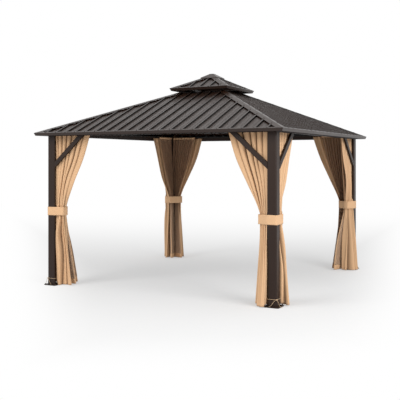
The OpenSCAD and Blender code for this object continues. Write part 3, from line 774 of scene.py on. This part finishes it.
# small repeated things, each grown on points by a node tree
def nodeTree(name, sizes):
    tree = bpy.data.node_groups.new(name, "GeometryNodeTree")
    tree.interface.new_socket("Spots", in_out="INPUT", socket_type="NodeSocketGeometry")
    for label, value in sizes.items():
        tree.interface.new_socket(label, in_out="INPUT", socket_type="NodeSocketFloat").default_value = value
    tree.interface.new_socket("Finish", in_out="INPUT", socket_type="NodeSocketMaterial")
    tree.interface.new_socket("Grown", in_out="OUTPUT", socket_type="NodeSocketGeometry")
    return tree, tree.nodes.new("NodeGroupInput"), tree.nodes.new("NodeGroupOutput")


def placeShape(tree, shape, start, finish):
    # one copy of the shape on each spot, turned by the spot's own angles
    turn = tree.nodes.new("GeometryNodeInputNamedAttribute")
    turn.data_type = "FLOAT_VECTOR"
    turn.inputs["Name"].default_value = "turn"
    angles = tree.nodes.new("FunctionNodeEulerToRotation")
    copies = tree.nodes.new("GeometryNodeInstanceOnPoints")
    real = tree.nodes.new("GeometryNodeRealizeInstances")
    paint = tree.nodes.new("GeometryNodeSetMaterial")
    links = tree.links
    links.new(turn.outputs["Attribute"], angles.inputs[0])
    links.new(angles.outputs[0], copies.inputs["Rotation"])
    links.new(start.outputs["Spots"], copies.inputs["Points"])
    links.new(shape, copies.inputs["Instance"])
    links.new(copies.outputs[0], real.inputs[0])
    links.new(real.outputs[0], paint.inputs["Geometry"])
    links.new(start.outputs["Finish"], paint.inputs["Material"])
    links.new(paint.outputs[0], finish.inputs[0])


def drum(tree, sides, lowRadius, highRadius, depth, base):
    # short cone standing on the height given by base
    cone = tree.nodes.new("GeometryNodeMeshCone")
    cone.inputs["Vertices"].default_value = sides
    shift = tree.nodes.new("GeometryNodeTransform")
    where = tree.nodes.new("ShaderNodeCombineXYZ")
    tree.links.new(highRadius, cone.inputs["Radius Top"])
    tree.links.new(lowRadius, cone.inputs["Radius Bottom"])
    tree.links.new(depth, cone.inputs["Depth"])
    if base is not None:
        tree.links.new(base, where.inputs[2])
    tree.links.new(cone.outputs[0], shift.inputs["Geometry"])
    tree.links.new(where.outputs[0], shift.inputs["Translation"])
    return shift.outputs[0]


def hexScrew():
    washerTaper, headTaper = 0.82, 0.86
    tree, start, finish = nodeTree("hexScrew", {"Washer": 0.008, "Washer rise": 0.0016, "Head": 0.0055,
                                                "Head rise": 0.005})
    size = start.outputs
    rim = calc(tree, "MULTIPLY", size["Washer"], washerTaper)
    top = calc(tree, "MULTIPLY", size["Head"], headTaper)
    join = tree.nodes.new("GeometryNodeJoinGeometry")
    tree.links.new(drum(tree, 12, size["Washer"], rim, size["Washer rise"], None), join.inputs[0])
    tree.links.new(drum(tree, 6, size["Head"], top, size["Head rise"], size["Washer rise"]), join.inputs[0])
    placeShape(tree, join.outputs[0], start, finish)
    return tree


def threadStitch():
    tree, start, finish = nodeTree("threadStitch", {"Length": 0.005, "Thick": 0.0011})
    size = start.outputs
    bead = tree.nodes.new("GeometryNodeMeshUVSphere")
    bead.inputs["Segments"].default_value = 6
    bead.inputs["Rings"].default_value = 4
    bead.inputs["Radius"].default_value = 0.5
    stretch = tree.nodes.new("ShaderNodeCombineXYZ")
    tree.links.new(size["Length"], stretch.inputs[0])
    tree.links.new(size["Thick"], stretch.inputs[1])
    tree.links.new(size["Thick"], stretch.inputs[2])
    shape = tree.nodes.new("GeometryNodeTransform")
    tree.links.new(bead.outputs[0], shape.inputs["Geometry"])
    tree.links.new(stretch.outputs[0], shape.inputs["Scale"])
    placeShape(tree, shape.outputs[0], start, finish)
    return tree


def railGlider():
    # glider foot in the rail and a wire ring below it that the cloth hangs on
    tree, start, finish = nodeTree("railGlider", {"Width": 0.0046, "Rise": 0.006, "Ring": 0.0065,
                                                  "Wire": 0.0011})
    size = start.outputs
    foot = drum(tree, 8, size["Width"], size["Width"], size["Rise"], None)
    ring = tree.nodes.new("GeometryNodeCurvePrimitiveCircle")
    ring.inputs["Resolution"].default_value = 14
    wire = tree.nodes.new("GeometryNodeCurvePrimitiveCircle")
    wire.inputs["Resolution"].default_value = 5
    tree.links.new(size["Ring"], ring.inputs["Radius"])
    tree.links.new(size["Wire"], wire.inputs["Radius"])
    swept = tree.nodes.new("GeometryNodeCurveToMesh")
    tree.links.new(ring.outputs[0], swept.inputs[0])
    tree.links.new(wire.outputs[0], swept.inputs[1])
    stand = tree.nodes.new("GeometryNodeTransform")
    stand.inputs["Rotation"].default_value = (math.pi / 2, 0, 0)
    where = tree.nodes.new("ShaderNodeCombineXYZ")
    tree.links.new(calc(tree, "MULTIPLY", size["Ring"], -0.9), where.inputs[2])
    tree.links.new(where.outputs[0], stand.inputs["Translation"])
    tree.links.new(swept.outputs[0], stand.inputs["Geometry"])
    join = tree.nodes.new("GeometryNodeJoinGeometry")
    tree.links.new(foot, join.inputs[0])
    tree.links.new(stand.outputs[0], join.inputs[0])
    placeShape(tree, join.outputs[0], start, finish)
    return tree


def turnOf(outward, forward):
    # angles that stand a shape's z on outward and lay its x along forward
    z = outward.normalized()
    x = (forward - z * forward.dot(z)).normalized()
    y = z.cross(x)
    return Matrix((x, y, z)).transposed().to_euler()


def grow(name, spots, tree, sizes, finish, smooth=False):
    mesh = bpy.data.meshes.new(name)
    mesh.from_pydata([place for place, turn in spots], [], [])
    turns = mesh.attributes.new("turn", "FLOAT_VECTOR", "POINT")
    for i, (place, turn) in enumerate(spots):
        turns.data[i].vector = turn
    piece = bpy.data.objects.new(name, mesh)
    scene.collection.objects.link(piece)
    maker = piece.modifiers.new("grow", "NODES")
    maker.node_group = tree
    for socket in tree.interface.items_tree:
        if socket.in_out == "INPUT" and socket.name in sizes:
            maker[socket.identifier] = sizes[socket.name]
        if socket.in_out == "INPUT" and socket.name == "Finish":
            maker[socket.identifier] = finish
    keepShape(piece)
    if smooth:
        piece.data.polygons.foreach_set("use_smooth", [True] * len(piece.data.polygons))
    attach(piece, "root")
    return piece


def onSlope(tier, x, up, lift, turns):
    # place and turn on a roof side: up the slope from its eave, lift off the sheet
    c, s = math.cos(tier["pitch"]), math.sin(tier["pitch"])
    spin = Matrix.Rotation(math.pi / 2 * turns, 3, "Z")
    place = spin @ Vector((x, -tier["r"] + up * c - lift * s, tier["z"] + up * s + lift * c))
    return place, turnOf(spin @ Vector((0, -s, c)), spin @ Vector((1, 0, 0)))


upright = Vector((0, 0, 1))
tiers = [{"pitch": math.radians(22.9), "r": 1.7892, "z": 2.0448, "ribs": 10, "firstHip": 2},
         {"pitch": math.radians(25.4), "r": 0.4486, "z": 2.7086, "ribs": 2, "firstHip": 1}]
roofScrew = {"ribPitch": 0.160, "lipTop": 0.0188, "hipTop": 0.0202, "fromEave": 0.010, "fromHip": 0.044,
             "sizes": {"Washer": 0.0075, "Washer rise": 0.0014, "Head": 0.005, "Head rise": 0.0042}}
screwSpots = []
for tier in tiers:
    for turns in range(4):
        for k in range(-tier["ribs"], tier["ribs"] + 1):
            x = k * roofScrew["ribPitch"]
            screwSpots.append(onSlope(tier, x, roofScrew["fromEave"], roofScrew["lipTop"], turns))
            if abs(k) >= tier["firstHip"]:
                up = (tier["r"] - abs(x) - roofScrew["fromHip"]) / math.cos(tier["pitch"])
                screwSpots.append(onSlope(tier, x, up, roofScrew["hipTop"], turns))
screwTree = hexScrew()
grow("roof_screws", screwSpots, screwTree, roofScrew["sizes"], coatedSteel)

anchor = {"middle": 0.058, "reach": 0.077, "height": 0.011,
          "sizes": {"Washer": 0.0115, "Washer rise": 0.002, "Head": 0.0088, "Head rise": 0.008}}
frameBolt = {"braceFoot": 0.1162, "braceRun": 0.434, "braceRise": 0.388, "beamLow": 2.0196,
             "beamHigh": 2.0936, "onBrace": (0.075, 0.155, 0.845, 0.925), "onBeam": (0.03, 0.086),
             "braceFace": 0.0014, "beamFace": -0.0006,
             "sizes": {"Washer": 0.008, "Washer rise": 0.0012, "Head": 0.0062, "Head rise": 0.004}}
boltSpots, frameSpots = [], []
for corner, turns in cornerTurns.items():
    holes = (anchor["middle"] - anchor["reach"], anchor["middle"] + anchor["reach"])
    for p in holes:
        for q in holes:
            boltSpots.append((atCorner(p, q, anchor["height"], turns), turnOf(upright, Vector((1, 0, 0)))))
    for side in (0, 1):
        turn = turnOf(outOf(turns, side), upright)
        for t in frameBolt["onBrace"]:
            p = frameBolt["braceFoot"] + frameBolt["braceRun"] * t
            z = frameBolt["beamLow"] - frameBolt["braceRise"] * (1 - t)
            frameSpots.append((atCorner(p, frameBolt["braceFace"], z, turns, side), turn))
        for p in frameBolt["onBeam"]:
            z = (frameBolt["beamLow"] + frameBolt["beamHigh"]) / 2
            frameSpots.append((atCorner(p, frameBolt["beamFace"], z, turns, side), turn))
grow("anchor_bolts", boltSpots, screwTree, anchor["sizes"], brownCoat)
grow("frame_bolts", frameSpots, screwTree, frameBolt["sizes"], coatedSteel)
print("screws and bolts set:", len(screwSpots) + len(boltSpots) + len(frameSpots))

glider = {"height": 2.0782, "curtainTrack": 0.0446, "netTrack": 0.0638, "onNet": (0.04, 0.96, 7)}
gliderSpots = []
for corner, turns in cornerTurns.items():
    for side in (0, 1):
        turn = turnOf(upright, atCorner(1, 0, 0, turns, side) - atCorner(0, 0, 0, turns, side))
        hung = curtainGrids[corner, side][-1][curtain["steps"] // 2::curtain["steps"]]
        places = [(spot[0], glider["curtainTrack"]) for spot in hung]
        for share in spread(*glider["onNet"]):
            p, q, z = netPoint(share, net["top"], side, netSeed(turns, side))
            places.append((p, glider["netTrack"]))
        gliderSpots += [(atCorner(p, q, glider["height"], turns, side), turn) for p, q in places]
grow("rail_gliders", gliderSpots, railGlider(), {}, darkRail, True)
print("gliders set:", len(gliderSpots))


def seamSpots(line, pitch, outwards):
    # stitches spaced along a line, each lying along it
    spots, want, run = [], pitch / 2, 0.0
    for i in range(len(line) - 1):
        step = (line[i + 1] - line[i]).length
        while run + step > want:
            t = (want - run) / step
            spots.append((line[i].lerp(line[i + 1], t), turnOf(outwards[i], line[i + 1] - line[i])))
            want += pitch
        run += step
    return spots


stitch = {"onBand": 0.008, "onCurtain": 0.011, "sizes": {"Length": 0.0058, "Thick": 0.0013}}
seams = []
for corner, turns in cornerTurns.items():
    spin = Matrix.Rotation(math.pi / 2 * turns, 3, "Z")
    for j in (1, strap["rows"] - 1):
        row = strapGrids[corner][j]
        outs = [spin @ Vector((-out.x, out.y, 0)) for p, q, z, run, out in row]
        line = [atCorner(*spot[:3], turns) + out * strap["thick"] * 0.5 for spot, out in zip(row, outs)]
        seams += seamSpots(line, stitch["onBand"], outs)
    for side in (0, 1):
        grid = curtainGrids[corner, side]
        outward = outOf(turns, side)
        for j in (1, len(grid) - 3):
            row = [atCorner(*spot[:3], turns, side) for spot in grid[j]]
            outs = []
            for i in range(len(row)):
                heading = row[min(i + 1, len(row) - 1)] - row[max(i - 1, 0)]
                out = heading.cross(upright).normalized()
                outs.append(out if out.dot(outward) > 0 else -out)
            line = [spot + out * curtain["thick"] * 0.5 for spot, out in zip(row, outs)]
            seams += seamSpots(line, stitch["onCurtain"], outs)
grow("seam_stitches", seams, threadStitch(), stitch["sizes"], paleThread, True)
print("stitches sewn:", len(seams))

# finishes on the frame itself
for name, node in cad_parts.items():
    coat = brownCoat
    if name == "curtain_rails":
        coat = darkRail
    elif "roof_panel" in name:
        coat = panelCoat
    elif "cap" in name or "trim" in name:
        coat = roofCoat
    for holder in node.material_slots:
        holder.material = coat

# floor, light and white surroundings
studio = {"floor": (0.73, 0.73, 0.73, 1), "rough": 0.9, "front": (3.2, 4.9), "side": (0.14, 0.30),
          "back": (0.0, 0.60), "veil": 0.35, "eye": 10.4, "sky": 0.64, "floorHalf": 60,
          "white": (1, 1, 1, 1), "aim": (0, 0, 1.0)}


def seenDirectly(tree):
    path = add(tree, "ShaderNodeLightPath").outputs
    seen = calc(tree, "MAXIMUM", path["Is Camera Ray"], path["Is Glossy Ray"])
    return calc(tree, "MAXIMUM", seen, path["Is Transmission Ray"])


def floorFinish():
    # pale floor that fades to white towards the front, the back and the sides; seen directly it glows white
    # by at least the veil share everywhere, painted light that lightens the shadow on it
    finish, tree, shader = newFinish("paleFloor")
    shader.inputs["Base Color"].default_value = studio["floor"]
    shader.inputs["Roughness"].default_value = studio["rough"]
    shader.inputs["Specular IOR Level"].default_value = 0.0
    turned = add(tree, "ShaderNodeMapping", in2=(0, 0, -viewer["turn"]))
    tree.links.new(add(tree, "ShaderNodeTexCoord").outputs["Object"], turned.inputs[0])
    across, deep = split(tree, turned.outputs[0])[:2]
    span = calc(tree, "ADD", deep, studio["eye"])
    reach = {"front": calc(tree, "MULTIPLY", deep, -1.0), "back": calc(tree, "DIVIDE", deep, span),
             "side": calc(tree, "DIVIDE", calc(tree, "ABSOLUTE", across), span)}
    veiled = (studio["veil"], 1.0)
    fades = [remap(tree, value, studio[way], veiled, "SMOOTHERSTEP") for way, value in reach.items()]
    edge = calc(tree, "MAXIMUM", calc(tree, "MAXIMUM", fades[0], fades[1]), fades[2])
    white = add(tree, "ShaderNodeEmission", in0=studio["white"], in1=1.0)
    mixShaders(tree, calc(tree, "MULTIPLY", edge, seenDirectly(tree)), shader, white)
    return finish


half = studio["floorHalf"]
floorCorners = [(-half, -half, 0), (half, -half, 0), (half, half, 0), (-half, half, 0)]
floor = newPiece("floor", floorCorners, [(0, 1, 2, 3)], floorFinish())

world = bpy.data.worlds.new("whiteRoom")
scene.world = world
world.use_nodes = True
tree = world.node_tree
sky = tree.nodes["Background"]
sky.inputs[0].default_value = studio["white"]
level = remap(tree, seenDirectly(tree), (0.0, 1.0), (studio["sky"], 1.0))
tree.links.new(level, sky.inputs[1])


def softLight(name, place, size, power):
    data = bpy.data.lights.new(name, "AREA")
    data.size = size
    data.energy = power
    lamp = bpy.data.objects.new(name, data)
    lamp.location = place
    lamp.rotation_euler = (Vector(studio["aim"]) - Vector(place)).to_track_quat("-Z", "Y").to_euler()
    scene.collection.objects.link(lamp)


# place, size and power of each lamp
lamps = {"keyLight": ((-3.5, -8.0, 6.5), 5.0, 425), "sideLight": ((7.5, -3.5, 5.0), 4.0, 395)}
for name, (place, size, power) in lamps.items():
    softLight(name, place, size, power)
print("studio lit")
